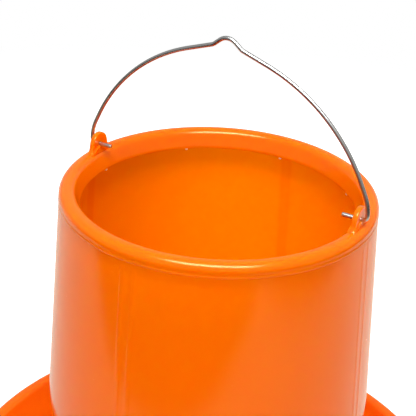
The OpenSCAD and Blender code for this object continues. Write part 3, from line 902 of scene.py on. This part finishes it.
class Finish:
    """A node material or world in the making."""

    def __init__(self, owner):
        self.owner = owner
        owner.use_nodes = True
        self.tree = owner.node_tree
        self.tree.nodes.clear()

    def node(self, kind, settings, sockets, output=0):
        """A node with its settings, then the values or links of its sockets; gives an output."""
        made = self.tree.nodes.new(kind)
        for name, value in settings.items():
            setattr(made, name, value)
        for name, value in sockets.items():
            if isinstance(value, Signal):
                self.tree.links.new(value.socket, made.inputs[name])
            else:
                made.inputs[name].default_value = value
        return Signal(self, made.outputs[output])

    def place(self):
        """The point on the piece, in metres."""
        return self.node("ShaderNodeTexCoord", {}, {}, "Object")

    def parts(self, vector):
        """The x, y and z of a vector, each a Signal."""
        first = self.node("ShaderNodeSeparateXYZ", {}, {"Vector": vector})
        sockets = first.socket.node.outputs
        return [Signal(self, sockets[axis]) for axis in "XYZ"]

    def scaled(self, vector, scale):
        """The vector times a scale of its own along each axis."""
        return self.node("ShaderNodeVectorMath", {"operation": "MULTIPLY"},
                         {0: vector, 1: scale})

    def noise(self, vector, scale, detail=2.0, roughness=0.5):
        """Noise from 0 to 1 about 0.5."""
        return self.node("ShaderNodeTexNoise", {}, {"Vector": vector, "Scale": scale,
                                                    "Detail": detail, "Roughness": roughness})

    def blend(self, amount, first, second):
        """The first colour where amount is 0, the second where it is 1."""
        return self.node("ShaderNodeMix", {"data_type": "RGBA"},
                         {"Factor": amount, 6: first, 7: second}, 2)

    def relief(self, height, depth, under=None):
        """A normal bent by a height map whose full step is depth, over another relief."""
        sockets = {"Height": height, "Distance": depth, "Strength": 1.0}
        if under:
            sockets["Normal"] = under
        return self.node("ShaderNodeBump", {}, sockets)

    def surface(self, sockets):
        """The material's one shader."""
        return self.end(self.node("ShaderNodeBsdfPrincipled", {}, sockets))

    def end(self, shader):
        """The shader goes to the output, and the material or world is done."""
        kind = "World" if isinstance(self.owner, bpy.types.World) else "Material"
        made = self.tree.nodes.new("ShaderNodeOutput" + kind)
        self.tree.links.new(shader.socket, made.inputs["Surface"])
        return self.owner


def moulded_plastic(name, deep, light, streak_scale):
    """Glossy moulded polypropylene: cloudy colour, faint flow lines, fine scuffs and waviness."""
    f = Finish(bpy.data.materials.new(name))
    place = f.place()
    cloud = f.noise(place, cloud_scale, 3.0)
    flow = f.noise(f.scaled(place, streak_scale), 1.0, 4.0, 0.6)
    fine = f.noise(f.scaled(place, grain_scale), 1.0, 2.0)
    scuff = f.noise(f.scaled(place, scuff_scale), 1.0, 5.0, 0.75).ramp(scuff_low, scuff_high)
    # The attribute holds painted light: a highlight on the webs' ends and shade behind the ribs
    skin = f.node("ShaderNodeAttribute", {"attribute_name": "skin"}, {}, "Vector")
    pip, thick, _ = f.parts(skin)
    plain = f.blend(cloud * 0.6 + flow * 0.4, deep, light)
    colour = f.blend(pip, f.blend(thick, plain, rib_painted_shade), pip_painted_highlight)
    wave = f.relief(f.noise(place, wave_scale, 1.0), wave_depth)
    peel = f.relief(flow, peel_depth, wave)
    grain = f.relief(fine, grain_depth, peel)
    return f.surface({
        "Base Color": colour,
        "Roughness": plastic_rough + flow_rough * flow + scuff_rough * scuff,
        "IOR": plastic_ior, "Specular Tint": plastic_gloss_tint,
        "Subsurface Weight": 1.0, "Subsurface Radius": glow_radius,
        "Subsurface Scale": glow_depth,
        "Normal": grain})


def zinc(name, lines, tint):
    """Bright zinc: dull crystals in the coat, and the lines that its making left."""
    f = Finish(bpy.data.materials.new(name))
    crystals = f.noise(f.place(), crystal_scale, 3.0)
    marks = f.noise(lines(f), 1.0, 3.0, 0.7)
    stain = f.noise(f.place(), stain_scale, 2.0)
    return f.surface({
        "Base Color": f.blend(stain * 0.7 + crystals * 0.3, zinc_dull, tint),
        "Metallic": 1.0,
        "Roughness": zinc_rough + crystal_rough * crystals + mark_rough * marks,
        "Normal": f.relief(marks, mark_depth, f.relief(crystals, crystal_depth))})


def drawn_lines(f):
    """Lines that run along the wire, from its own attribute (cos a, sin a, length)."""
    lay = f.node("ShaderNodeAttribute", {"attribute_name": "lay"}, {}, "Vector")
    return f.scaled(lay, draw_scale)


def rolled_lines(f):
    """Fine marks across the fasteners, on their own place."""
    return f.scaled(f.place(), roll_scale)


# The room


def grey(level):
    """An opaque grey."""
    return (level, level, level, 1.0)


def make_floor():
    """A pale table that keeps the feeder's shadow.

    To the camera it is shaded near the feeder and turns plain white further off. In gloss it is a
    lit sheet with two straight edges on a dark table, and to all other light a plain grey.
    """
    bpy.ops.mesh.primitive_plane_add(size=floor_size)
    floor = bpy.context.object
    floor.name = "floor"
    f = Finish(bpy.data.materials.new("pale_table"))
    x, y, _ = f.parts(f.place())
    sheet = x.ramp(table_right + table_blur, table_right - table_blur) * y.ramp(
        table_front - table_blur, table_front + table_blur)
    from_camera = f.node("ShaderNodeLightPath", {}, {}, "Is Camera Ray")
    from_gloss = f.node("ShaderNodeLightPath", {}, {}, "Is Glossy Ray")
    bounce = f.node("ShaderNodeBsdfDiffuse", {}, {"Color": grey(table_bounce)})
    white = f.node("ShaderNodeEmission", {}, {"Color": grey(1.0), "Strength": 1.0})
    lit = f.node("ShaderNodeEmission", {}, {"Color": sheet_glow, "Strength": 1.0})
    dark = f.node("ShaderNodeBsdfDiffuse", {}, {"Color": grey(table_dark)})
    gloss = f.node("ShaderNodeMixShader", {}, {0: sheet, 1: dark, 2: lit})
    shade = f.node("ShaderNodeBsdfDiffuse", {}, {"Color": grey(table_shade)})
    fill = f.node("ShaderNodeEmission", {}, {"Color": grey(1.0), "Strength": table_fill})
    near = f.node("ShaderNodeAddShader", {}, {0: shade, 1: fill})
    far = (x * x + y * y).ramp(shadow_reach ** 2, (2 * shadow_reach) ** 2)
    seen = f.node("ShaderNodeMixShader", {}, {0: far, 1: near, 2: white})
    other = f.node("ShaderNodeMixShader", {}, {0: from_gloss, 1: bounce, 2: gloss})
    floor.data.materials.append(f.end(f.node("ShaderNodeMixShader", {},
                                             {0: from_camera, 1: other, 2: seen})))


def make_world():
    """White to the camera, and a plain grey room to everything else."""
    f = Finish(bpy.data.worlds.new("room"))
    from_camera = f.node("ShaderNodeLightPath", {}, {}, "Is Camera Ray")
    room = f.node("ShaderNodeBackground", {}, {"Color": grey(room_grey)})
    white = f.node("ShaderNodeBackground", {}, {"Color": grey(1.0)})
    bpy.context.scene.world = f.end(f.node("ShaderNodeMixShader", {},
                                           {0: from_camera, 1: room, 2: white}))


def direction(azimuth, elevation):
    """Unit vector towards azimuth, counted from -Y towards +X, and elevation."""
    a, e = math.radians(azimuth), math.radians(elevation)
    return Vector((math.sin(a) * math.cos(e), -math.cos(a) * math.cos(e), math.sin(e)))


def facing(back, roll):
    """The turn whose Z axis is back, level in X before it is rolled about Z."""
    right = Vector((0, 0, 1)).cross(back).normalized()
    turned_to = Matrix((right, back.cross(right), back)).transposed()
    return (turned_to @ Matrix.Rotation(math.radians(roll), 3, "Z")).to_4x4()


def make_softbox(name, azimuth, elevation, distance, long, wide, watts):
    """A long softbox that faces the origin from a distance."""
    lamp = bpy.data.lights.new(name, "AREA")
    lamp.shape = "RECTANGLE"
    lamp.size, lamp.size_y = long, wide
    lamp.energy = watts
    made = bpy.data.objects.new(name, lamp)
    bpy.context.scene.collection.objects.link(made)
    back = direction(azimuth, elevation)
    made.matrix_world = Matrix.Translation(back * distance) @ facing(back, 0)
    made.visible_camera = False
    return made


def make_camera():
    """The photograph's camera: it looks down on the rim, a little rolled."""
    lens = bpy.data.cameras.new("camera")
    lens.sensor_width = camera_sensor
    lens.lens = camera_lens
    made = bpy.data.objects.new("camera", lens)
    bpy.context.scene.collection.objects.link(made)
    back = direction(camera_azimuth, camera_elevation)
    made.matrix_world = (Matrix.Translation(Vector(camera_target) + back * camera_distance)
                         @ facing(back, camera_roll))
    bpy.context.scene.camera = made


# Painted highlight on the webs' lower ends, a pale glint, and how far round them it goes
pip_painted_highlight = (1.0, 0.60, 0.30, 1.0)
pip_slack = 0.00002
pip_over = 0.0002

# Painted shade on the wall behind a rib, where less light comes through, and the height over which it
# comes in
rib_painted_shade = (0.93, 0.110, 0.0, 1.0)
rib_shade_rise = belly_drop / 4

# Plastic: scales of its patterns, per metre, with the flow along or across the draw
cloud_scale = 14.0
hopper_streak_scale = (30.0, 30.0, 3.0)
pan_streak_scale = (30.0, 30.0, 30.0)
grain_scale = (260.0, 260.0, 900.0)
scuff_scale = (45.0, 45.0, 150.0)
scuff_low, scuff_high = 0.60, 0.74
wave_scale = 9.0

# Plastic: depths of its reliefs, its gloss, and how deep light goes in
wave_depth = 0.0009
peel_depth = 0.00005
grain_depth = 0.000006
plastic_rough = 0.15
flow_rough = 0.04
scuff_rough = 0.12
plastic_ior = 1.49
plastic_gloss_tint = (1.0, 0.88, 0.42, 1.0)
glow_radius = (0.8, 0.8, 0.15)
glow_depth = 0.012

# Zinc: scales of its patterns, its gloss, and the depths of its reliefs
crystal_scale = 700.0
stain_scale = 60.0
draw_scale = (4.0, 4.0, 25.0)
roll_scale = (900.0, 900.0, 900.0)
zinc_dull = (0.46, 0.46, 0.45, 1.0)
zinc_rough = 0.20
crystal_rough = 0.08
mark_rough = 0.10
crystal_depth = 0.000004
mark_depth = 0.000008

# Room and camera sizes
floor_size = 14.0
table_front = -0.455
table_right = 0.735
table_blur = 0.012
table_bounce = 0.35
table_dark = 0.01
table_shade = 0.8
sheet_glow = (1.0, 0.99, 0.85, 1.0)
table_fill = 0.5
shadow_reach = 0.7
room_grey = 0.42
key_azimuth = 25.0
key_elevation = 66.0
key_distance = 2.0
key_long = 1.3
key_wide = 0.7
key_watts = 53.0
back_azimuth = 185.0
back_elevation = 10.0
back_distance = 1.6
back_long = 3.0
back_wide = 0.8
back_watts = 35.0
camera_target = (-0.00646, -0.00349, 0.3237)
camera_azimuth = 29.07
camera_elevation = 26.98
camera_distance = 0.6947
camera_roll = 3.02
camera_lens = 82.63
camera_sensor = 36.0

hopper_orange = moulded_plastic("orange_hopper_plastic", (0.94, 0.120, 0.0, 1.0),
                                (0.98, 0.145, 0.0, 1.0), hopper_streak_scale)
pan_orange = moulded_plastic("orange_pan_plastic", (0.92, 0.115, 0.001, 1.0),
                             (0.96, 0.140, 0.002, 1.0), pan_streak_scale)
wire_zinc = zinc("drawn_zinc_wire", drawn_lines, (0.62, 0.62, 0.61, 1.0))
hardware_zinc = zinc("plated_hardware", rolled_lines, (0.68, 0.69, 0.70, 1.0))

make_hopper(hopper_orange)
make_bail(wire_zinc)
make_pan(pan_orange)
for i in range(len(clamp_angles)):
    make_bolt(i, hardware_zinc)
    make_washer(i, hardware_zinc)
    make_nut(i, hardware_zinc)
make_floor()
make_world()
make_softbox("key_softbox", key_azimuth, key_elevation, key_distance, key_long, key_wide, key_watts)
behind = make_softbox("back_softbox", back_azimuth, back_elevation, back_distance, back_long,
                      back_wide, back_watts)
behind.visible_glossy = False
make_camera()
bpy.context.scene.view_settings.view_transform = "Standard"
